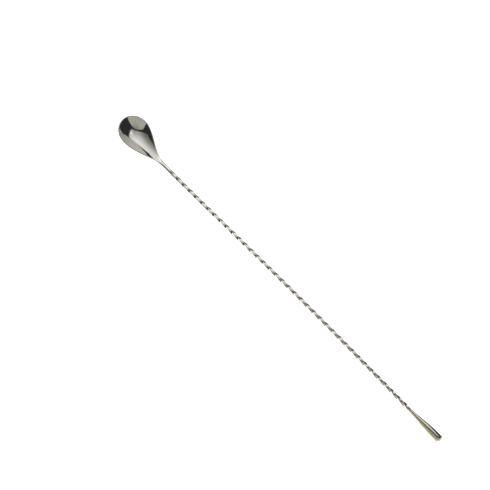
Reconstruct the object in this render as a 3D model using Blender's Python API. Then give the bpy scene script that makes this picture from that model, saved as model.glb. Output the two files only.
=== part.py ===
"""Bar spoon: a pressed teardrop bowl, a twisted square shaft and a turned weight, brazed end to end.

Metres, +Z up. The spoon lies as it rests on a table, on its bowl and its weight, with the bowl open
upwards. +X runs from the bowl's tip to the weight. The origin is at the middle of the footprint, on
the table. The shapes are worked out in spoon coordinates, x from the bowl's tip and z from the axis
of the neck, and an empty then sets the whole spoon down.
"""

import math

import bmesh
import bpy
from mathutils import Matrix, Vector

MM = 0.001
OVERALL_LENGTH = 400 * MM

# Bowl: a round front that runs into a tapering tail and then into the neck.
BOWL_RADIUS = 14.45 * MM
BOWL_DEPTH = 8.35 * MM
WALL_STRAIGHTENS = 13.0 * MM
BOWL_WALL = 1.0 * MM
LIP_INSET = 0.9 * MM
TAIL_END = 54.3 * MM
TAIL_FRONT_HANDLE = 10.6 * MM
TAIL_NECK_HANDLE = 14.0 * MM
RIM_SLOPE = 0.394
RIM_BEND_AT = 34.2 * MM
RIM_BEND_SOFTNESS = 3.5 * MM
NECK_RADIUS = 1.6 * MM
NECK_END = 63.0 * MM
KEEL = 0.9 * MM
KEEL_FROM = 20.0 * MM
KEEL_TO = 44.0 * MM
SOLID_FROM = 36.0 * MM
SOLID_TO = 53.0 * MM
SIDE_ANGLE = math.radians(12)
RISE_FROM = 36.0 * MM
RISE_TO = 60.0 * MM
RISE_BLEND = 3.0 * MM
HOLLOW_FLOOR = -1.13 * MM
FLOOR_SLOPE = 0.105
REST_SHARE = 1 / 8
REST_FROM = 15.0 * MM
REST_TO = 24.0 * MM
REST_LOW = 28.0 * MM
REST_REACH = 4.0 * MM
REST_CROWN = 0.024 * MM

# Twisted bar, which arches slightly between the neck and the weight.
BAR_ACROSS_FLATS = 3.0 * MM
ROUND_EXPONENT = 2.0
SQUARE_EXPONENT = 7.0
TWIST_PITCHES = (33.54 * MM, 31.41 * MM, 31.14 * MM)
TWIST_START = math.radians(24.4)
ROUND_TO_SQUARE = 4.0 * MM
ARCH_HEIGHT = 3.58 * MM
ARCH_START = 73.8 * MM
ARCH_SPAN = 338.6 * MM

# Weight: a cone that swells into a cylinder with a rounded, flat end.
WEIGHT_START = 367.5 * MM
WEIGHT_NECK_RADIUS = 1.55 * MM
WEIGHT_RADIUS = 3.6 * MM
WEIGHT_SWELL_END = 395.0 * MM
WEIGHT_THIN_HANDLE = 8.5 * MM
WEIGHT_THIN_RISE = 0.34 * MM
WEIGHT_FULL_HANDLE = 11.0 * MM
WEIGHT_CORNER = 1.4 * MM

# Joints: a spigot in a blind socket, with a ring of braze metal at the shoulder.
GAP = 0.3 * MM
BRAZE_WIDTH = 0.6 * MM
SPIGOT_RADIUS = 0.85 * MM
SOCKET_RADIUS = SPIGOT_RADIUS + GAP
SPIGOT_LENGTH = 6.0 * MM
JOINT_WIDTH = BRAZE_WIDTH + 2 * GAP

# Fineness of the faceted surfaces.
FRONT_STATIONS = 12
TAIL_STATIONS = 16
NECK_STATIONS = 3
INNER_POINTS = 8
LIP_POINTS = 3
BAR_STEPS_PER_TURN = 20
BAR_CORNER_OFFSETS = [math.radians(offset) for offset in (-14, 0, 14, 45)]
SWELL_STEPS = 12
CORNER_STEPS = 4
TURNED_SIDES = 32
MERGE = 0.001 * MM
SHARP_ANGLE = math.radians(35)

STEEL_COLOUR = (0.62, 0.61, 0.58)
WARM_STEEL_COLOUR = (0.60, 0.58, 0.52)
SILVER_COLOUR = (0.66, 0.64, 0.58)


def smooth_step(value, low, high):
    """Run smoothly from 0 at low to 1 at high."""
    share = min(max((value - low) / (high - low), 0.0), 1.0)
    return share * share * (3 - 2 * share)


def bezier(ends, handles, share):
    """Return the point and the direction of travel of a cubic curve in the plane."""
    (start, end), (leave, arrive) = ends, handles
    rest = 1 - share
    point = (start * rest ** 3 + leave * (3 * rest * rest * share)
             + arrive * (3 * rest * share * share) + end * share ** 3)
    travel = ((leave - start) * (3 * rest * rest) + (arrive - leave) * (6 * rest * share)
              + (end - arrive) * (3 * share * share))
    return point, travel


def clear_scene():
    for thing in list(bpy.data.objects):
        bpy.data.objects.remove(thing, do_unlink=True)


def metal(name, colour, roughness):
    material = bpy.data.materials.new(name)
    material.use_nodes = True
    shader = material.node_tree.nodes["Principled BSDF"]
    shader.inputs["Base Color"].default_value = (*colour, 1.0)
    shader.inputs["Metallic"].default_value = 1.0
    shader.inputs["Roughness"].default_value = roughness
    material.diffuse_color = (*colour, 1.0)
    return material


def skin(name, rings, material, ends):
    """Skin a row of closed rings with equally many points, and cap, open or join its ends."""
    shape = bmesh.new()
    rows = [[shape.verts.new(point) for point in ring] for ring in rings]
    if "joined" in ends:
        rows.append(rows[0])
    for one, other in zip(rows, rows[1:]):
        for index in range(len(one)):
            following = (index + 1) % len(one)
            shape.faces.new((one[index], one[following], other[following], other[index]))
    for end, row in zip(ends, (rows[0], rows[-1])):
        if end == "capped":
            shape.faces.new(row)
    bmesh.ops.remove_doubles(shape, verts=shape.verts[:], dist=MERGE)
    bmesh.ops.recalc_face_normals(shape, faces=shape.faces[:])
    mesh = bpy.data.meshes.new(name)
    shape.to_mesh(mesh)
    shape.free()
    mesh.materials.append(material)
    mesh.shade_smooth()
    mesh.set_sharp_from_angle(angle=SHARP_ANGLE)
    thing = bpy.data.objects.new(name, mesh)
    bpy.context.scene.collection.objects.link(thing)
    return thing


def circle(x, radius, sides=TURNED_SIDES):
    """Return a ring round the X axis."""
    turns = [2 * math.pi * index / sides for index in range(sides)]
    return [Vector((x, radius * math.cos(turn), radius * math.sin(turn))) for turn in turns]


def turned(name, profile, material, ends=("capped", "capped")):
    """Turn a profile of (x, radius) pairs round the X axis."""
    return skin(name, [circle(x, radius) for x, radius in profile], material, ends)


def rim_height(x):
    """Height of the bowl's rim over the axis of the neck, and its slope along x."""
    reach = (RIM_BEND_AT - x) / RIM_BEND_SOFTNESS
    height = RIM_SLOPE * RIM_BEND_SOFTNESS * math.log1p(math.exp(reach))
    slope = -RIM_SLOPE / (1 + math.exp(-reach))
    return height, slope


def bowl_stations():
    """List the bowl's outline from the tip to the neck.

    Each station has the point on the spine that it starts from, the point on the inner edge that it
    ends at, the direction out of the outline there, the outer half width, and the inner half width
    times its slope along x. The front is a fan round the bowl's centre, and the tail and the neck
    are cut straight across.
    """
    stations = []
    inner_radius = BOWL_RADIUS - LIP_INSET
    centre = Vector((BOWL_RADIUS, 0.0))
    for index in range(FRONT_STATIONS):
        turn = 0.5 * math.pi * index / FRONT_STATIONS
        outward = Vector((-math.cos(turn), math.sin(turn)))
        stations.append((centre, centre + outward * inner_radius, outward, BOWL_RADIUS, None))
    ends = (Vector((BOWL_RADIUS, BOWL_RADIUS)), Vector((TAIL_END, NECK_RADIUS)))
    handles = (ends[0] + Vector((TAIL_FRONT_HANDLE, 0.0)), ends[1] - Vector((TAIL_NECK_HANDLE, 0.0)))
    for index in range(TAIL_STATIONS + 1):
        point, travel = bezier(ends, handles, index / TAIL_STATIONS)
        half_width = point.y - LIP_INSET
        outward = Vector((-travel.y, travel.x)).normalized()
        widening = half_width * travel.y / travel.x
        edge = Vector((point.x, half_width))
        stations.append((Vector((point.x, 0.0)), edge, outward, point.y, widening))
    for index in range(1, NECK_STATIONS + 1):
        x = TAIL_END + (RISE_TO - TAIL_END) * index / NECK_STATIONS
        edge = Vector((x, NECK_RADIUS - LIP_INSET))
        stations.append((Vector((x, 0.0)), edge, Vector((0.0, 1.0)), NECK_RADIUS, 0.0))
    return stations


def hollow(reach):
    """Height of the hollow's curve over its lowest point, and its slope per unit of reach.

    The curve is a hyperbola: round in the middle, with walls that straighten towards the rim.
    """
    radius = BOWL_RADIUS - LIP_INSET
    scale = BOWL_DEPTH / (math.hypot(radius, WALL_STRAIGHTENS) - WALL_STRAIGHTENS)
    slant = math.hypot(reach, WALL_STRAIGHTENS)
    return scale * (slant - WALL_STRAIGHTENS), scale / slant


def shell_point(spine, edge, widening, share):
    """Return a point of the bowl's inner surface and the surface's upward normal there."""
    spot = spine + (edge - spine) * share
    reach = (edge - spine).length
    edge_height, edge_bend = hollow(reach)
    spot_height, spot_bend = hollow(reach * share)
    height, slope = rim_height(spot.x)
    if widening is None:
        rise = spot_bend * (BOWL_RADIUS - spot.x)
    else:
        rise = edge_bend * widening
    normal = Vector((rise - slope, -spot_bend * spot.y, 1.0)).normalized()
    return Vector((spot.x, spot.y, height - edge_height + spot_height)), normal


def floor_height(x):
    """Height of the even rise from the hollow's floor to the top of the neck."""
    span = RISE_TO - RISE_FROM
    share = min(max((x - RISE_FROM) / span, 0.0), 1.0)
    start = HOLLOW_FLOOR + FLOOR_SLOPE * span * share * (1 - share) ** 2
    return start + (NECK_RADIUS - HOLLOW_FLOOR) * share * share * (3 - 2 * share)


def half_section(spine, edge, outward, half_width, widening):
    """Run from the inner spine over the rounded lip to the outer spine, on the +Y side.

    The middle of the underside is level across, with a slight crown where the spoon rests.
    """
    steps = range(INNER_POINTS + 1)
    inner = [shell_point(spine, edge, widening, index / INNER_POINTS) for index in steps]
    shell = [point for point, _ in inner]
    rim, normal = inner[-1]
    across = Vector((outward.x, outward.y, 0.0))
    across = (across - normal * across.dot(normal)).normalized()
    middle = rim - normal * BOWL_WALL / 2
    for index in range(1, LIP_POINTS + 1):
        turn = math.pi * index / (LIP_POINTS + 1)
        shell.append(middle + (normal * math.cos(turn) + across * math.sin(turn)) * BOWL_WALL / 2)
    keel = KEEL * smooth_step(spine.x, KEEL_FROM, KEEL_TO)
    for index, (point, normal) in enumerate(reversed(inner)):
        share = 1 - index / INNER_POINTS
        shell.append(point - normal * (BOWL_WALL + keel * (1 - share * share)))
    rest_points = round(INNER_POINTS * REST_SHARE)
    level = shell[-1 - rest_points].z
    crown = REST_CROWN * math.exp(-(((spine.x - REST_LOW) / REST_REACH) ** 2))
    for index, point in enumerate(shell[-rest_points:], start=1):
        point.z += (level - point.z) * smooth_step(spine.x, REST_FROM, REST_TO)
        point.z -= crown * index / rest_points

    solid = smooth_step(spine.x, SOLID_FROM, SOLID_TO)
    if solid == 0:
        return shell
    top = math.pi / 2
    upper = [top + (SIDE_ANGLE - top) * index / INNER_POINTS for index in steps]
    side = [SIDE_ANGLE * (1 - 2 * index / (LIP_POINTS + 1)) for index in range(1, LIP_POINTS + 1)]
    lower = [-angle for angle in reversed(upper)]
    bar = []
    for angle in upper + side + lower:
        bar.append(Vector((spine.x, half_width * math.cos(angle), NECK_RADIUS * math.sin(angle))))
    section = [thin.lerp(thick, solid) for thin, thick in zip(shell, bar)]
    lift = (floor_height(spine.x) - section[0].z) * smooth_step(spine.x, RISE_FROM, RISE_FROM + RISE_BLEND)
    for index in steps:
        section[index].z += lift * (1 - (index / INNER_POINTS) ** 2)
    return section


def full_section(half):
    """Close a +Y half section with its mirror image."""
    mirror = [Vector((point.x, -point.y, point.z)) for point in half[-2:0:-1]]
    return half + mirror


def make_bowl(material):
    rings = [full_section(half_section(*station)) for station in bowl_stations()]
    tail = rings[-1]
    socket_bottom = NECK_END - SPIGOT_LENGTH - GAP
    neck = ((NECK_END, NECK_RADIUS), (NECK_END, SOCKET_RADIUS), (socket_bottom, SOCKET_RADIUS))
    for x, radius in neck:
        scale = radius / NECK_RADIUS
        rings.append([Vector((x, point.y * scale, point.z * scale)) for point in tail])
    return skin("bowl", rings, material, ends=("closed", "capped"))


def axis_line(x):
    """Height of the shaft's axis over the neck's, and its slope: level, an arch, then straight on."""
    bend = min(max(x, ARCH_START), WEIGHT_START)
    turn = 2 * math.pi * (bend - ARCH_START) / ARCH_SPAN
    slope = ARCH_HEIGHT * math.pi / ARCH_SPAN * math.sin(turn)
    return 0.5 * ARCH_HEIGHT * (1 - math.cos(turn)) + slope * (x - bend), slope


def twist_at(share, length):
    """Angle of the bar at a share of its length. Its pitch tightens from the bowl's end to the weight's."""
    near, middle, far = (2 * math.pi / pitch for pitch in TWIST_PITCHES)
    growth = 4 * middle - 3 * near - far
    bend = 2 * (near + far - 2 * middle)
    return TWIST_START + length * share * (near + growth * share / 2 + bend * share * share / 3)


def bar_ring(x, radius, exponent, twist):
    """Return a ring square to the shaft's axis, between a circle and a square with rounded corners."""
    height, slope = axis_line(x)
    lean = math.atan(slope)
    ring = []
    for corner in range(4):
        for offset in BAR_CORNER_OFFSETS:
            turn = (corner + 0.5) * math.pi / 2 + offset
            norm = abs(math.cos(turn)) ** exponent + abs(math.sin(turn)) ** exponent
            reach = radius / norm ** (1 / exponent)
            side = reach * math.cos(turn + twist)
            up = reach * math.sin(turn + twist)
            ring.append(Vector((x - up * math.sin(lean), side, height + up * math.cos(lean))))
    return ring


def make_shaft(material):
    start = NECK_END + JOINT_WIDTH
    end = WEIGHT_START - JOINT_WIDTH
    steps = round((end - start) / TWIST_PITCHES[1] * BAR_STEPS_PER_TURN)
    twists = [twist_at(index / steps, end - start) for index in range(steps + 1)]
    rings = []
    for x in (NECK_END - SPIGOT_LENGTH, start):
        rings.append(bar_ring(x, SPIGOT_RADIUS, ROUND_EXPONENT, twists[0]))
    for index, twist in enumerate(twists):
        x = start + (end - start) * index / steps
        square = smooth_step(min(x - start, end - x), 0.0, ROUND_TO_SQUARE)
        exponent = ROUND_EXPONENT + (SQUARE_EXPONENT - ROUND_EXPONENT) * square
        rings.append(bar_ring(x, BAR_ACROSS_FLATS / 2, exponent, twist))
    for x in (end, WEIGHT_START + SPIGOT_LENGTH):
        rings.append(bar_ring(x, SPIGOT_RADIUS, ROUND_EXPONENT, twists[-1]))
    return skin("shaft", rings, material, ends=("capped", "capped"))


def weight_profile():
    """List the weight's (x, radius) pairs from its bore's bottom, out over the skin, to the flat end."""
    length = OVERALL_LENGTH - WEIGHT_START
    bore_depth = SPIGOT_LENGTH + GAP
    profile = [(bore_depth, SOCKET_RADIUS), (0.0, SOCKET_RADIUS)]
    thin = Vector((0.0, WEIGHT_NECK_RADIUS))
    full = Vector((WEIGHT_SWELL_END - WEIGHT_START, WEIGHT_RADIUS))
    leave = thin + Vector((WEIGHT_THIN_HANDLE, WEIGHT_THIN_RISE))
    arrive = full - Vector((WEIGHT_FULL_HANDLE, 0.0))
    for index in range(SWELL_STEPS + 1):
        point, _ = bezier((thin, full), (leave, arrive), index / SWELL_STEPS)
        profile.append((point.x, point.y))
    for index in range(CORNER_STEPS + 1):
        turn = 0.5 * math.pi * index / CORNER_STEPS
        x = length - WEIGHT_CORNER * (1 - math.sin(turn))
        profile.append((x, WEIGHT_RADIUS - WEIGHT_CORNER * (1 - math.cos(turn))))
    return profile


def place_on_axis(thing, x):
    """Move a turned piece to its place along the shaft's axis and lean it with the axis."""
    height, slope = axis_line(x)
    thing.location = (x, 0.0, height)
    thing.rotation_euler = (0.0, -math.atan(slope), 0.0)


def make_braze(name, x, radius, material):
    """Make the ring of braze metal that fills the joint at x, round the shaft's spigot."""
    profile = ((0.0, SOCKET_RADIUS), (0.0, radius), (BRAZE_WIDTH, radius), (BRAZE_WIDTH, SOCKET_RADIUS))
    ring = turned(name, profile, material, ends=("joined", "joined"))
    place_on_axis(ring, x)
    return ring


def points_of(piece):
    """List a piece's points in the coordinates of its parent."""
    bpy.context.view_layer.update()
    return [piece.matrix_basis @ vertex.co for vertex in piece.data.vertices]


def set_down(pieces):
    """Hang every piece on one empty, and stand the spoon on its bowl and its weight over the origin."""
    spoon = bpy.data.objects.new("spoon", None)
    bpy.context.scene.collection.objects.link(spoon)
    for piece in pieces:
        piece.parent = spoon
    points = [point for piece in pieces for point in points_of(piece)]
    rear = min((point for point in points if point.x < NECK_END), key=lambda point: point.z)
    front = min((point for point in points if point.x > WEIGHT_START), key=lambda point: point.z)
    level = Matrix.Rotation(math.atan2(front.z - rear.z, front.x - rear.x), 4, "Y")
    points = [level @ point for point in points]
    middle = (min(point.x for point in points) + max(point.x for point in points)) / 2
    table = min(point.z for point in points)
    spoon.matrix_world = Matrix.Translation((-middle, 0.0, -table)) @ level


def main():
    clear_scene()
    bowl = make_bowl(metal("bowl_steel", STEEL_COLOUR, roughness=0.18))
    shaft = make_shaft(metal("shaft_steel", STEEL_COLOUR, roughness=0.15))
    weight_steel = metal("weight_steel", WARM_STEEL_COLOUR, roughness=0.12)
    weight = turned("weight", weight_profile(), weight_steel)
    place_on_axis(weight, WEIGHT_START)
    silver = metal("neck_braze_metal", SILVER_COLOUR, roughness=0.25)
    neck_braze = make_braze("neck_braze", NECK_END + GAP, NECK_RADIUS, silver)
    silver = metal("weight_braze_metal", SILVER_COLOUR, roughness=0.25)
    weight_braze_start = WEIGHT_START - GAP - BRAZE_WIDTH
    weight_braze = make_braze("weight_braze", weight_braze_start, WEIGHT_NECK_RADIUS, silver)
    set_down((bowl, shaft, weight, neck_braze, weight_braze))


main()
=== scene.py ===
"""Looks of the bar spoon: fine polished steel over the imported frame, a pale floor, soft light, a camera.

Metres, +Z up, in the row frame. The fine surfaces are worked out in spoon coordinates, x from the
bowl's tip and z from the axis of the neck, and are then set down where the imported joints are.
"""

import math

import bmesh
import bpy
from mathutils import Matrix, Vector


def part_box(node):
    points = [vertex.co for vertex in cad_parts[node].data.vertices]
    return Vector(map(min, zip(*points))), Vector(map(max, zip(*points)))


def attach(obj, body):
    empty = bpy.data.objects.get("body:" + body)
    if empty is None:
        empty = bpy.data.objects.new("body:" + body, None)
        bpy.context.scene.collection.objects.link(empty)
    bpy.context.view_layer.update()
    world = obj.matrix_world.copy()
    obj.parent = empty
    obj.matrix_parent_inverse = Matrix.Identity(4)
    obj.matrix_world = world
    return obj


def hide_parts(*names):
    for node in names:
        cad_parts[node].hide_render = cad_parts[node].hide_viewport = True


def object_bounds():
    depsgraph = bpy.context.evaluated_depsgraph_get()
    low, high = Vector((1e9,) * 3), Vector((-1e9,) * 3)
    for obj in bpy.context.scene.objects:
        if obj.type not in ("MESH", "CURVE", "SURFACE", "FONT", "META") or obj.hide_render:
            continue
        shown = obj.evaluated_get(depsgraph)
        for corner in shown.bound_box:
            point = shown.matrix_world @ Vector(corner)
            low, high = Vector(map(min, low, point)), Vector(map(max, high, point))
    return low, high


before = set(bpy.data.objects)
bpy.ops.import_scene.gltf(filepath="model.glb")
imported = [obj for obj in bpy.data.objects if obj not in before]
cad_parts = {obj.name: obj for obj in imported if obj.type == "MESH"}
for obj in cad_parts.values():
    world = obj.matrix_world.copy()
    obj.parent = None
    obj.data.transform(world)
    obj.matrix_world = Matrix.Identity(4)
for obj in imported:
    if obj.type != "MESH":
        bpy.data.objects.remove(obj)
CAD_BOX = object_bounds()

MM = 0.001
OVERALL_LENGTH = 400 * MM

# Bowl and neck.
BOWL_RADIUS = 14.45 * MM
BOWL_DEPTH = 8.35 * MM
WALL_STRAIGHTENS = 13.0 * MM
BOWL_WALL = 1.0 * MM
LIP_INSET = 0.9 * MM
TAIL_END = 54.3 * MM
TAIL_FRONT_HANDLE = 10.6 * MM
TAIL_NECK_HANDLE = 14.0 * MM
RIM_SLOPE = 0.394
RIM_BEND_AT = 34.2 * MM
RIM_BEND_SOFTNESS = 3.5 * MM
NECK_RADIUS = 1.6 * MM
NECK_END = 63.0 * MM
KEEL = 0.9 * MM
KEEL_FROM = 20.0 * MM
KEEL_TO = 44.0 * MM
SOLID_FROM = 36.0 * MM
SOLID_TO = 53.0 * MM
SIDE_ANGLE = math.radians(12)
RISE_FROM = 36.0 * MM
RISE_TO = 60.0 * MM
RISE_BLEND = 3.0 * MM
HOLLOW_FLOOR = -1.13 * MM
FLOOR_SLOPE = 0.105
REST_SHARE = 1 / 8
REST_FROM = 15.0 * MM
REST_TO = 24.0 * MM
REST_LOW = 28.0 * MM
REST_REACH = 4.0 * MM
REST_CROWN = 0.024 * MM

# Twisted bar, which arches slightly between the neck and the weight.
BAR_ACROSS_FLATS = 3.0 * MM
ROUND_EXPONENT = 2.0
SQUARE_EXPONENT = 7.0
TWIST_PITCHES = (33.54 * MM, 31.41 * MM, 31.14 * MM)
TWIST_START = math.radians(24.4)
ROUND_TO_SQUARE = 4.0 * MM
ARCH_HEIGHT = 3.58 * MM
ARCH_START = 73.8 * MM
ARCH_SPAN = 338.6 * MM

# Weight.
WEIGHT_START = 367.5 * MM
WEIGHT_NECK_RADIUS = 1.55 * MM
WEIGHT_RADIUS = 3.6 * MM
WEIGHT_SWELL_END = 395.0 * MM
WEIGHT_THIN_HANDLE = 8.5 * MM
WEIGHT_THIN_RISE = 0.34 * MM
WEIGHT_FULL_HANDLE = 11.0 * MM
WEIGHT_CORNER = 1.4 * MM

# Joints: the braze metal fills the whole joint between two pieces.
JOINT_WIDTH = 1.2 * MM
BRAZE_CLEARANCE = 0.01 * MM
SPIGOT_RADIUS = 0.85 * MM
SOCKET_RADIUS = 1.15 * MM
SPIGOT_LENGTH = 6.0 * MM
SOCKET_DEPTH = 6.3 * MM

# Fineness of the surfaces.
FRONT_STATIONS = 56
TAIL_STATIONS = 88
NECK_STATIONS = 12
INNER_POINTS = 40
LIP_POINTS = 11
BAR_STEPS_PER_TURN = 96
BAR_RING_POINTS = 64
SWELL_STEPS = 64
CORNER_STEPS = 14
TURNED_SIDES = 96
MERGE = 0.0005 * MM
SHARP_ANGLE = math.radians(35)


def smooth_step(value, low, high):
    """Run smoothly from 0 at low to 1 at high."""
    share = min(max((value - low) / (high - low), 0.0), 1.0)
    return share * share * (3 - 2 * share)


def bezier(ends, handles, share):
    """Return the point and the direction of travel of a cubic curve in the plane."""
    (start, end), (leave, arrive) = ends, handles
    rest = 1 - share
    point = (start * rest ** 3 + leave * (3 * rest * rest * share)
             + arrive * (3 * rest * share * share) + end * share ** 3)
    travel = ((leave - start) * (3 * rest * rest) + (arrive - leave) * (6 * rest * share)
              + (end - arrive) * (3 * share * share))
    return point, travel


def rim_height(x):
    """Height of the bowl's rim over the axis of the neck, and its slope along x."""
    reach = (RIM_BEND_AT - x) / RIM_BEND_SOFTNESS
    height = RIM_SLOPE * RIM_BEND_SOFTNESS * math.log1p(math.exp(reach))
    slope = -RIM_SLOPE / (1 + math.exp(-reach))
    return height, slope


def bowl_stations():
    """List the bowl's outline from the tip to the neck, as cuts from the spine to the inner edge."""
    stations = []
    inner_radius = BOWL_RADIUS - LIP_INSET
    centre = Vector((BOWL_RADIUS, 0.0))
    for index in range(FRONT_STATIONS):
        turn = 0.5 * math.pi * index / FRONT_STATIONS
        outward = Vector((-math.cos(turn), math.sin(turn)))
        stations.append((centre, centre + outward * inner_radius, outward, BOWL_RADIUS, None))
    ends = (Vector((BOWL_RADIUS, BOWL_RADIUS)), Vector((TAIL_END, NECK_RADIUS)))
    handles = (ends[0] + Vector((TAIL_FRONT_HANDLE, 0.0)), ends[1] - Vector((TAIL_NECK_HANDLE, 0.0)))
    for index in range(TAIL_STATIONS + 1):
        point, travel = bezier(ends, handles, index / TAIL_STATIONS)
        half_width = point.y - LIP_INSET
        outward = Vector((-travel.y, travel.x)).normalized()
        widening = half_width * travel.y / travel.x
        edge = Vector((point.x, half_width))
        stations.append((Vector((point.x, 0.0)), edge, outward, point.y, widening))
    for index in range(1, NECK_STATIONS + 1):
        x = TAIL_END + (RISE_TO - TAIL_END) * index / NECK_STATIONS
        edge = Vector((x, NECK_RADIUS - LIP_INSET))
        stations.append((Vector((x, 0.0)), edge, Vector((0.0, 1.0)), NECK_RADIUS, 0.0))
    return stations


def hollow(reach):
    """Height of the hollow's curve over its lowest point, and its slope per unit of reach.

    The curve is a hyperbola: round in the middle, with walls that straighten towards the rim.
    """
    radius = BOWL_RADIUS - LIP_INSET
    scale = BOWL_DEPTH / (math.hypot(radius, WALL_STRAIGHTENS) - WALL_STRAIGHTENS)
    slant = math.hypot(reach, WALL_STRAIGHTENS)
    return scale * (slant - WALL_STRAIGHTENS), scale / slant


def shell_point(spine, edge, widening, share):
    """Return a point of the bowl's inner surface and the surface's upward normal there."""
    spot = spine + (edge - spine) * share
    reach = (edge - spine).length
    edge_height, edge_bend = hollow(reach)
    spot_height, spot_bend = hollow(reach * share)
    height, slope = rim_height(spot.x)
    if widening is None:
        rise = spot_bend * (BOWL_RADIUS - spot.x)
    else:
        rise = edge_bend * widening
    normal = Vector((rise - slope, -spot_bend * spot.y, 1.0)).normalized()
    return Vector((spot.x, spot.y, height - edge_height + spot_height)), normal


def floor_height(x):
    """Height of the even rise from the hollow's floor to the top of the neck."""
    span = RISE_TO - RISE_FROM
    share = min(max((x - RISE_FROM) / span, 0.0), 1.0)
    start = HOLLOW_FLOOR + FLOOR_SLOPE * span * share * (1 - share) ** 2
    return start + (NECK_RADIUS - HOLLOW_FLOOR) * share * share * (3 - 2 * share)


def half_section(spine, edge, outward, half_width, widening):
    """Run from the inner spine over the rounded lip to the outer spine, on the +Y side.

    The middle of the underside is level across, with a slight crown where the spoon rests.
    """
    steps = range(INNER_POINTS + 1)
    inner = [shell_point(spine, edge, widening, index / INNER_POINTS) for index in steps]
    shell = [point for point, _ in inner]
    rim, normal = inner[-1]
    across = Vector((outward.x, outward.y, 0.0))
    across = (across - normal * across.dot(normal)).normalized()
    middle = rim - normal * BOWL_WALL / 2
    for index in range(1, LIP_POINTS + 1):
        turn = math.pi * index / (LIP_POINTS + 1)
        shell.append(middle + (normal * math.cos(turn) + across * math.sin(turn)) * BOWL_WALL / 2)
    keel = KEEL * smooth_step(spine.x, KEEL_FROM, KEEL_TO)
    for index, (point, normal) in enumerate(reversed(inner)):
        share = 1 - index / INNER_POINTS
        shell.append(point - normal * (BOWL_WALL + keel * (1 - share * share)))
    rest_points = round(INNER_POINTS * REST_SHARE)
    level = shell[-1 - rest_points].z
    crown = REST_CROWN * math.exp(-(((spine.x - REST_LOW) / REST_REACH) ** 2))
    for index, point in enumerate(shell[-rest_points:], start=1):
        point.z += (level - point.z) * smooth_step(spine.x, REST_FROM, REST_TO)
        point.z -= crown * index / rest_points

    solid = smooth_step(spine.x, SOLID_FROM, SOLID_TO)
    if solid == 0:
        return shell
    top = math.pi / 2
    upper = [top + (SIDE_ANGLE - top) * index / INNER_POINTS for index in steps]
    side = [SIDE_ANGLE * (1 - 2 * index / (LIP_POINTS + 1)) for index in range(1, LIP_POINTS + 1)]
    lower = [-angle for angle in reversed(upper)]
    bar = []
    for angle in upper + side + lower:
        bar.append(Vector((spine.x, half_width * math.cos(angle), NECK_RADIUS * math.sin(angle))))
    section = [thin.lerp(thick, solid) for thin, thick in zip(shell, bar)]
    lift = (floor_height(spine.x) - section[0].z) * smooth_step(spine.x, RISE_FROM, RISE_FROM + RISE_BLEND)
    for index in steps:
        section[index].z += lift * (1 - (index / INNER_POINTS) ** 2)
    return section


def full_section(half):
    """Close a +Y half section with its mirror image."""
    mirror = [Vector((point.x, -point.y, point.z)) for point in half[-2:0:-1]]
    return half + mirror


def bowl_rings():
    """Run from the tip, over the neck, to the bottom of the neck's socket."""
    rings = [full_section(half_section(*station)) for station in bowl_stations()]
    tail = rings[-1]
    socket_bottom = NECK_END - SOCKET_DEPTH
    neck = ((NECK_END, NECK_RADIUS), (NECK_END, SOCKET_RADIUS), (socket_bottom, SOCKET_RADIUS))
    for x, radius in neck:
        scale = radius / NECK_RADIUS
        rings.append([Vector((x, point.y * scale, point.z * scale)) for point in tail])
    return rings


def axis_line(x):
    """Height of the shaft's axis over the neck's, and its slope: level, an arch, then straight on."""
    bend = min(max(x, ARCH_START), WEIGHT_START)
    turn = 2 * math.pi * (bend - ARCH_START) / ARCH_SPAN
    slope = ARCH_HEIGHT * math.pi / ARCH_SPAN * math.sin(turn)
    return 0.5 * ARCH_HEIGHT * (1 - math.cos(turn)) + slope * (x - bend), slope


def twist_at(share, length):
    """Angle of the bar at a share of its length. Its pitch tightens from the bowl's end to the weight's."""
    near, middle, far = (2 * math.pi / pitch for pitch in TWIST_PITCHES)
    growth = 4 * middle - 3 * near - far
    bend = 2 * (near + far - 2 * middle)
    return TWIST_START + length * share * (near + growth * share / 2 + bend * share * share / 3)


def bar_ring(x, radius, exponent, twist):
    """Return a ring square to the shaft's axis, between a circle and a square with rounded corners."""
    height, slope = axis_line(x)
    lean = math.atan(slope)
    ring = []
    for index in range(BAR_RING_POINTS):
        turn = 2 * math.pi * index / BAR_RING_POINTS
        turn -= 0.16 * math.sin(4 * (turn - math.pi / 4))
        norm = abs(math.cos(turn)) ** exponent + abs(math.sin(turn)) ** exponent
        reach = radius / norm ** (1 / exponent)
        side = reach * math.cos(turn + twist)
        up = reach * math.sin(turn + twist)
        ring.append(Vector((x - up * math.sin(lean), side, height + up * math.cos(lean))))
    return ring


def shaft_rings():
    """Run from one spigot's end, along the twisted bar, to the other's."""
    start = NECK_END + JOINT_WIDTH
    end = WEIGHT_START - JOINT_WIDTH
    steps = round((end - start) / TWIST_PITCHES[1] * BAR_STEPS_PER_TURN)
    twists = [twist_at(index / steps, end - start) for index in range(steps + 1)]
    rings = []
    for x in (NECK_END - SPIGOT_LENGTH, start):
        rings.append(bar_ring(x, SPIGOT_RADIUS, ROUND_EXPONENT, twists[0]))
    for index, twist in enumerate(twists):
        x = start + (end - start) * index / steps
        square = smooth_step(min(x - start, end - x), 0.0, ROUND_TO_SQUARE)
        exponent = ROUND_EXPONENT + (SQUARE_EXPONENT - ROUND_EXPONENT) * square
        rings.append(bar_ring(x, BAR_ACROSS_FLATS / 2, exponent, twist))
    for x in (end, WEIGHT_START + SPIGOT_LENGTH):
        rings.append(bar_ring(x, SPIGOT_RADIUS, ROUND_EXPONENT, twists[-1]))
    return rings


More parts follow.
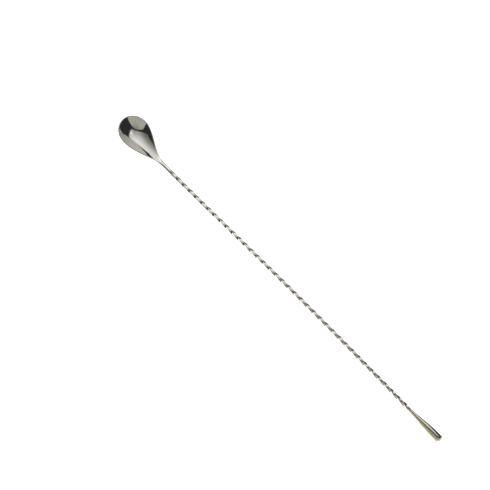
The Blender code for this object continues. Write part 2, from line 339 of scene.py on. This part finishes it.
def turned_ring(x, reach, radius):
    """Return a ring of the given radius round the shaft's axis, reach further on along it than x."""
    height, slope = axis_line(x)
    lean = math.atan(slope)
    ring = []
    for index in range(TURNED_SIDES):
        turn = 2 * math.pi * index / TURNED_SIDES
        side = radius * math.cos(turn)
        up = radius * math.sin(turn)
        along = Vector((math.cos(lean), 0.0, math.sin(lean))) * reach
        ring.append(Vector((x - up * math.sin(lean), side, height + up * math.cos(lean))) + along)
    return ring


def weight_rings():
    """Run from the bottom of the weight's bore, out over the skin, to the flat end."""
    length = OVERALL_LENGTH - WEIGHT_START
    profile = [(SOCKET_DEPTH, SOCKET_RADIUS), (0.0, SOCKET_RADIUS)]
    thin = Vector((0.0, WEIGHT_NECK_RADIUS))
    full = Vector((WEIGHT_SWELL_END - WEIGHT_START, WEIGHT_RADIUS))
    leave = thin + Vector((WEIGHT_THIN_HANDLE, WEIGHT_THIN_RISE))
    arrive = full - Vector((WEIGHT_FULL_HANDLE, 0.0))
    for index in range(SWELL_STEPS + 1):
        point, _ = bezier((thin, full), (leave, arrive), index / SWELL_STEPS)
        profile.append((point.x, point.y))
    for index in range(CORNER_STEPS + 1):
        turn = 0.5 * math.pi * index / CORNER_STEPS
        reach = length - WEIGHT_CORNER * (1 - math.sin(turn))
        profile.append((reach, WEIGHT_RADIUS - WEIGHT_CORNER * (1 - math.cos(turn))))
    return [turned_ring(WEIGHT_START, reach, radius) for reach, radius in profile]


def braze_rings(x, radius):
    """Fill the joint that starts at x with a ring of braze metal, flush with the pieces beside it."""
    low, high = BRAZE_CLEARANCE, JOINT_WIDTH - BRAZE_CLEARANCE
    hole = SPIGOT_RADIUS + BRAZE_CLEARANCE
    profile = ((low, hole), (low, radius), (high, radius), (high, hole), (low, hole))
    return [turned_ring(x, reach, size) for reach, size in profile]


def painted_lip_shade_and_neck_highlight(ring, point):
    """Painted shade, most on the outermost line of the bowl's rounded lip, and below zero on the smoother
    neck, where it paints a highlight.
    """
    half = 2 * INNER_POINTS + LIP_POINTS + 2
    index = point if point < half else 2 * half - 2 - point
    reach = (LIP_POINTS + 1) / 2
    lip = max(0.0, 1 - abs(index - INNER_POINTS - reach) / reach)
    neck = smooth_step((ring - FRONT_STATIONS) / TAIL_STATIONS, 0.7, 0.95)
    return lip * (1 - neck) - neck


def corner_wear(ring, point):
    """Most on the bar's four corners."""
    turn = 2 * math.pi * point / BAR_RING_POINTS
    return max(0.0, -math.cos(4 * turn)) ** 2


def end_wear(ring, point):
    """Most on the rounded edge of the weight's flat end."""
    step = ring - SWELL_STEPS - 3
    return math.sin(math.pi * step / CORNER_STEPS) if 0 < step < CORNER_STEPS else 0.0


def no_wear(ring, point):
    """Nothing, on the braze metal."""
    return 0.0


def skin(name, rings, wear_and_painted_light, ends, seat):
    """Skin a row of closed rings with equally many points into one closed, smooth shaded piece."""
    shape = bmesh.new()
    # The layer holds wear on the bar's corners and the weight's end, painted shade on the bowl's lip and a
    # painted highlight on the neck.
    layer = shape.verts.layers.float.new("wear_and_painted_light")
    rows = [[shape.verts.new(seat @ point) for point in ring] for ring in rings]
    for ring, row in enumerate(rows):
        for point, corner in enumerate(row):
            corner[layer] = wear_and_painted_light(ring, point)
    for one, other in zip(rows, rows[1:]):
        for index in range(len(one)):
            following = (index + 1) % len(one)
            shape.faces.new((one[index], one[following], other[following], other[index]))
    for end, row in zip(ends, (rows[0], rows[-1])):
        if end == "capped":
            shape.faces.new(row)
    bmesh.ops.remove_doubles(shape, verts=shape.verts[:], dist=MERGE)
    bmesh.ops.recalc_face_normals(shape, faces=shape.faces[:])
    mesh = bpy.data.meshes.new(name)
    shape.to_mesh(mesh)
    shape.free()
    mesh.shade_smooth()
    mesh.set_sharp_from_angle(angle=SHARP_ANGLE)
    piece = bpy.data.objects.new(name, mesh)
    bpy.context.scene.collection.objects.link(piece)
    return piece


def seat_on_joints():
    """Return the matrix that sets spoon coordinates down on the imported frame's two braze rings."""
    spots = []
    drawn = []
    for node, start in (("neck_braze", NECK_END), ("weight_braze", WEIGHT_START - JOINT_WIDTH)):
        low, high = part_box(node)
        spots.append((low + high) / 2)
        x = start + JOINT_WIDTH / 2
        drawn.append(Vector((x, 0.0, axis_line(x)[0])))
    seen = spots[1] - spots[0]
    planned = drawn[1] - drawn[0]
    turn = math.atan2(seen.z, seen.x) - math.atan2(planned.z, planned.x)
    return Matrix.Translation(spots[0]) @ Matrix.Rotation(-turn, 4, "Y") @ Matrix.Translation(-drawn[0])


def make_pieces():
    """Make the fine surface of each node."""
    neck_ring = braze_rings(NECK_END, NECK_RADIUS)
    weight_ring = braze_rings(WEIGHT_START - JOINT_WIDTH, WEIGHT_NECK_RADIUS)
    capped = ("capped", "capped")
    joined = ("joined", "joined")
    plans = (
        ("bowl", "bowl_surface", bowl_rings(), painted_lip_shade_and_neck_highlight, ("closed", "capped")),
        ("shaft", "shaft_surface", shaft_rings(), corner_wear, capped),
        ("weight", "weight_surface", weight_rings(), end_wear, capped),
        ("neck_braze", "neck_braze_fill", neck_ring, no_wear, joined),
        ("weight_braze", "weight_braze_fill", weight_ring, no_wear, joined),
    )
    seat = seat_on_joints()
    return {node: skin(name, rings, wear_and_painted_light, ends, seat) for node, name, rings, wear_and_painted_light, ends in plans}


# Steel: an even tint and roughness, varied by streaks along the polish and by a light haze.
STEEL_TINT = (0.60, 0.595, 0.575)
SHAFT_TINT = (0.70, 0.69, 0.65)
WARM_STEEL_TINT = (0.63, 0.605, 0.50)
BRAZE_TINT = (0.68, 0.66, 0.60)
LINE_DEPTH = 0.0005 * MM

# View: the camera looks down at the spoon from beyond its +Y side, over the bowl.
VIEW_AZIMUTH = math.radians(49.09)
VIEW_ELEVATION = math.radians(60)
VIEW_DISTANCE = 1.22
VIEW_TARGET = Vector((-35.89 * MM, 0.34 * MM, 4.0 * MM))
VIEW_LENS = 104.8
SENSOR = 36.0

# Studio: level cards this high over the spoon, and soft shades this high over the floor.
CARD_HEIGHT = 0.22
BOWL_SHADE_HEIGHT = 0.02 * MM
SIDE_SHADE_HEIGHT = 0.03 * MM
FLOOR_DROP = 0.05 * MM
WHITE_GLOW = (1.0, 0.985, 0.955)
BEIGE_GLOW = (1.0, 0.965, 0.84)
FLOOR_GLOW = (1.0, 1.0, 0.98)
FLOOR_TINT = (0.86, 0.86, 0.86)
WORLD_TINT = (0.032, 0.036, 0.038)

UP = Vector((0.0, 0.0, 1.0))


def link(tree, source, target):
    """Join an output to an input."""
    tree.links.new(source, target)


def glowing(name, colour, pools):
    """Return an emission material whose strength is a product of pools, in its card's coordinates.

    Each pool is (centre, stretch, start, end, near, far): the strength runs smoothly from near at the
    start to far at the end, both distances from the centre, along axes that are stretched.
    """
    material = bpy.data.materials.new(name)
    material.use_nodes = True
    tree = material.node_tree
    tree.nodes.clear()
    output = tree.nodes.new("ShaderNodeOutputMaterial")
    glow = tree.nodes.new("ShaderNodeEmission")
    glow.inputs["Color"].default_value = (*colour, 1.0)
    link(tree, glow.outputs["Emission"], output.inputs["Surface"])
    place = tree.nodes.new("ShaderNodeTexCoord")
    strength = glow.inputs["Strength"]
    for centre, stretch, start, end, near, far in pools:
        offset = tree.nodes.new("ShaderNodeVectorMath")
        offset.operation = "SUBTRACT"
        offset.inputs[1].default_value = (*centre, 0.0)
        link(tree, place.outputs["Object"], offset.inputs[0])
        scaled = tree.nodes.new("ShaderNodeVectorMath")
        scaled.operation = "MULTIPLY"
        scaled.inputs[1].default_value = (*stretch, 0.0)
        link(tree, offset.outputs["Vector"], scaled.inputs[0])
        length = tree.nodes.new("ShaderNodeVectorMath")
        length.operation = "LENGTH"
        link(tree, scaled.outputs["Vector"], length.inputs[0])
        fall = tree.nodes.new("ShaderNodeMapRange")
        fall.interpolation_type = "SMOOTHSTEP"
        fall.inputs["From Min"].default_value = start
        fall.inputs["From Max"].default_value = end
        fall.inputs["To Min"].default_value = near
        fall.inputs["To Max"].default_value = far
        link(tree, length.outputs["Value"], fall.inputs["Value"])
        product = tree.nodes.new("ShaderNodeMath")
        product.operation = "MULTIPLY"
        product.inputs[1].default_value = 1.0
        link(tree, fall.outputs["Result"], product.inputs[0])
        link(tree, product.outputs["Value"], strength)
        strength = product.inputs[1]
    return material


def card(name, corners, height, over, material, turn=VIEW_AZIMUTH):
    """Hang a level card over a point. It shows in the steel, but not in the picture, and casts no shadow.

    Its corners are (right, away) from that point, as the camera sees them, unless it has a turn of its own.
    """
    mesh = bpy.data.meshes.new(name)
    mesh.from_pydata([(*corner, 0.0) for corner in corners], [], [range(len(corners))])
    mesh.materials.append(material)
    thing = bpy.data.objects.new(name, mesh)
    thing.location = over + UP * height
    thing.rotation_euler.z = turn
    thing.visible_camera = False
    thing.visible_diffuse = False
    thing.visible_shadow = False
    bpy.context.scene.collection.objects.link(thing)
    return thing


def add_cards(bowl):
    """Hang a large bright scrim over the spoon and a dimmer, warmer card on its near side."""
    corners = ((-0.37, -0.08), (0.0, -0.185), (0.20, -0.215), (0.27, -0.225), (0.36, -0.15), (0.46, 0.06),
               (0.57, 0.28), (0.60, 0.38), (0.08, 0.385), (-0.24, 0.40), (-0.24, 0.10), (-0.32, 0.02))
    middle = ((0.055, 0.187), (0.60, 1.0), 0.0, 0.45, 1.26, 0.40)
    left_fade = ((2.0, 0.0), (1.0, 0.0), 1.97, 2.30, 1.0, 0.42)
    over_weight = ((0.36, -0.10), (1.0, 1.2), 0.04, 0.22, 2.0, 1.0)
    card("scrim", corners, CARD_HEIGHT, bowl,
         glowing("scrim_glow", WHITE_GLOW, (middle, left_fade, over_weight)))
    corners = ((-0.23, -0.20), (0.10, -0.245), (0.22, -0.300), (0.36, -0.38), (0.62, -0.56), (0.8, -1.6),
               (-1.4, -1.2), (-1.4, -0.74), (-0.65, -0.51), (-0.42, -0.36), (-0.30, -0.26))
    rising = ((0.1, -0.2), (1.0, 1.0), 0.03, 0.30, 0.36, 0.60)
    card("front_card", corners, CARD_HEIGHT, bowl, glowing("front_glow", BEIGE_GLOW, (rising,)))


def add_shades():
    """Lay the spoon's soft shadow on the floor, where only the steel shows it."""
    spot = Vector((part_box("bowl")[0].x + 20 * MM, 0.0, 0.0))
    corners = ((-0.10, -0.10), (0.10, -0.10), (0.10, 0.10), (-0.10, 0.10))
    under_bowl = ((0.0, 0.0), (1.0, 1.0), 0.028, 0.075, 0.07, 1.0)
    glow = glowing("bowl_shade_glow", FLOOR_GLOW, (under_bowl,))
    card("bowl_shade", corners, BOWL_SHADE_HEIGHT, spot, glow, turn=0.0)

    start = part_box("shaft")[0].x + 10 * MM
    end = CAD_BOX[1].x + 20 * MM
    corners = ((start, 0.0), (end, 0.0), (end, 0.5), (start, 0.5))
    beside = ((0.0, 0.0), (0.0, 1.0), 0.004, 0.012, 0.5, 0.05)
    glow = glowing("side_shade_glow", FLOOR_GLOW, (beside,))
    card("side_shade", corners, SIDE_SHADE_HEIGHT, Vector((0.0, 0.0, 0.0)), glow, turn=0.0)


def add_floor():
    """Lay a wide pale floor just under the shades."""
    mesh = bpy.data.meshes.new("floor")
    size = 6.0
    corners = [(-size, -size, 0), (size, -size, 0), (size, size, 0), (-size, size, 0)]
    mesh.from_pydata(corners, [], [(0, 1, 2, 3)])
    floor = bpy.data.objects.new("floor", mesh)
    floor.location.z = -FLOOR_DROP
    material = bpy.data.materials.new("floor")
    material.use_nodes = True
    shader = material.node_tree.nodes["Principled BSDF"]
    shader.inputs["Base Color"].default_value = (*FLOOR_TINT, 1.0)
    shader.inputs["Roughness"].default_value = 0.9
    mesh.materials.append(material)
    bpy.context.scene.collection.objects.link(floor)


def add_fill():
    """Light the floor evenly from above with a lamp that doesn't show in the steel."""
    lamp = bpy.data.lights.new("floor_fill", "AREA")
    lamp.shape = "SQUARE"
    lamp.size = 3.0
    lamp.energy = 120.0
    lamp.use_shadow = False
    thing = bpy.data.objects.new("floor_fill", lamp)
    thing.location = (0.0, 0.0, 2.0)
    thing.visible_glossy = False
    thing.visible_camera = False
    bpy.context.scene.collection.objects.link(thing)


def add_world():
    """Surround everything with the dim grey of a dark studio."""
    world = bpy.data.worlds.new("studio")
    world.use_nodes = True
    shade = world.node_tree.nodes["Background"]
    shade.inputs["Color"].default_value = (*WORLD_TINT, 1.0)
    shade.inputs["Strength"].default_value = 1.0
    bpy.context.scene.world = world


def add_camera():
    """Aim the camera at the spoon's middle from the view's azimuth and elevation."""
    lens = bpy.data.cameras.new("camera")
    lens.sensor_width = SENSOR
    lens.lens = VIEW_LENS
    camera = bpy.data.objects.new("camera", lens)
    level = math.cos(VIEW_ELEVATION)
    right, away = math.cos(VIEW_AZIMUTH), math.sin(VIEW_AZIMUTH)
    back = Vector((away * level, -right * level, math.sin(VIEW_ELEVATION)))
    camera.location = VIEW_TARGET + back * VIEW_DISTANCE
    camera.rotation_euler = (-back).to_track_quat("-Z", "Y").to_euler()
    bpy.context.scene.collection.objects.link(camera)
    bpy.context.scene.camera = camera


def scaled_noise(tree, place, scale, detail):
    """Add a noise in the piece's own coordinates, with so many features per metre along each axis."""
    stretch = tree.nodes.new("ShaderNodeMapping")
    stretch.inputs["Scale"].default_value = scale
    link(tree, place.outputs["Object"], stretch.inputs["Vector"])
    noise = tree.nodes.new("ShaderNodeTexNoise")
    noise.inputs["Scale"].default_value = 1.0
    noise.inputs["Detail"].default_value = detail
    link(tree, stretch.outputs["Vector"], noise.inputs["Vector"])
    return noise.outputs["Fac"]


def spread(tree, source, low, high, near, far):
    """Map a value from low..high to near..far."""
    ramp = tree.nodes.new("ShaderNodeMapRange")
    ramp.clamp = False
    ramp.inputs["From Min"].default_value = low
    ramp.inputs["From Max"].default_value = high
    ramp.inputs["To Min"].default_value = near
    ramp.inputs["To Max"].default_value = far
    link(tree, source, ramp.inputs["Value"])
    return ramp.outputs["Result"]


def total(tree, first, second):
    """Add up two values."""
    node = tree.nodes.new("ShaderNodeMath")
    node.operation = "ADD"
    link(tree, first, node.inputs[0])
    link(tree, second, node.inputs[1])
    return node.outputs["Value"]


def steel(name, tint, lines, gloss, wear_and_shade_darkening):
    """Return polished steel: a haze and fine polishing lines vary its tint and its roughness.

    Lines is how many polishing lines there are per metre along each axis, and gloss the roughness
    between the lines. Where the piece's attribute of wear and painted light is high, the steel is rougher,
    and its tint is darkened by the edge darkening factor: wear on the bar's corners and the weight's end,
    painted shade on the bowl's lip. Where it is below zero, on the neck, the steel is smoother and its
    tint brighter, a painted highlight.
    """
    material = bpy.data.materials.new(name)
    material.use_nodes = True
    tree = material.node_tree
    shader = tree.nodes["Principled BSDF"]
    shader.inputs["Metallic"].default_value = 1.0
    place = tree.nodes.new("ShaderNodeTexCoord")
    haze = scaled_noise(tree, place, (90.0, 160.0, 160.0), 3.0)
    grain = scaled_noise(tree, place, lines, 2.0)
    # This attribute darkens the tint for wear on the bar's corners and the weight's end and for painted
    # shade on the bowl's lip; below zero it brightens the neck as a painted highlight.
    wear_and_painted_light = tree.nodes.new("ShaderNodeAttribute")
    wear_and_painted_light.attribute_name = "wear_and_painted_light"

    # The lowest stop gives the bowl's lip its painted shade and the corners and the weight's end their
    # wear; the top stop, 1.4 times the tint, is reached mainly on the neck, as a painted highlight.
    shade = tree.nodes.new("ShaderNodeValToRGB")
    stops = shade.color_ramp.elements
    stops.new(0.3)
    stops.new(0.7)
    for stop, position, factor in zip(stops, (0.0, 0.30, 0.70, 1.0), (wear_and_shade_darkening, 0.95, 1.03, 1.4)):
        stop.position = position
        stop.color = (*(channel * factor for channel in tint), 1.0)
    tone = total(tree, spread(tree, haze, 0.0, 1.0, 0.0, 0.6), spread(tree, grain, 0.0, 1.0, 0.0, 0.4))
    tone = total(tree, tone, spread(tree, wear_and_painted_light.outputs["Fac"], 0.0, 1.0, 0.0, -0.6))
    link(tree, tone, shade.inputs["Fac"])
    link(tree, shade.outputs["Color"], shader.inputs["Base Color"])

    rough = total(tree, spread(tree, haze, 0.3, 0.7, gloss, gloss + 0.03),
                  spread(tree, grain, 0.3, 0.7, 0.0, 0.03))
    rough = total(tree, rough, spread(tree, wear_and_painted_light.outputs["Fac"], 0.0, 1.0, 0.0, 0.04))
    link(tree, rough, shader.inputs["Roughness"])

    relief = tree.nodes.new("ShaderNodeBump")
    relief.inputs["Strength"].default_value = 0.25
    relief.inputs["Distance"].default_value = LINE_DEPTH
    link(tree, grain, relief.inputs["Height"])
    link(tree, relief.outputs["Normal"], shader.inputs["Normal"])
    return material


# Each piece's slot, tint, polishing lines per metre along X, Y and Z, roughness, and darkening of its
# edges: painted shade on the bowl's lip, wear on the shaft's corners and the weight's end.
FINISHES = {
    "bowl": ("bowl_steel", STEEL_TINT, (150.0, 2600.0, 2600.0), 0.065, 0.2),
    "shaft": ("shaft_steel", SHAFT_TINT, (220.0, 3600.0, 3600.0), 0.065, 0.9),
    "weight": ("weight_steel", WARM_STEEL_TINT, (3200.0, 90.0, 90.0), 0.06, 0.9),
    "neck_braze": ("braze", BRAZE_TINT, (3600.0, 400.0, 400.0), 0.08, 1.0),
    "weight_braze": ("braze", BRAZE_TINT, (3600.0, 400.0, 400.0), 0.08, 1.0),
}

pieces = make_pieces()
materials = {}
for node, piece in pieces.items():
    slot, tint, lines, gloss, wear_and_shade_darkening = FINISHES[node]
    if slot not in materials:
        materials[slot] = steel(slot + "_polished", tint, lines, gloss, wear_and_shade_darkening)
    piece.data.materials.append(materials[slot])
    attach(piece, "root")
    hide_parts(node)

low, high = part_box("bowl")
bowl_middle = Vector(((low.x * 2 + high.x) / 3, 0.0, (low.z + high.z) / 2))
add_camera()
add_world()
add_floor()
add_fill()
add_cards(bowl_middle)
add_shades()
bpy.context.scene.view_settings.view_transform = "Standard"
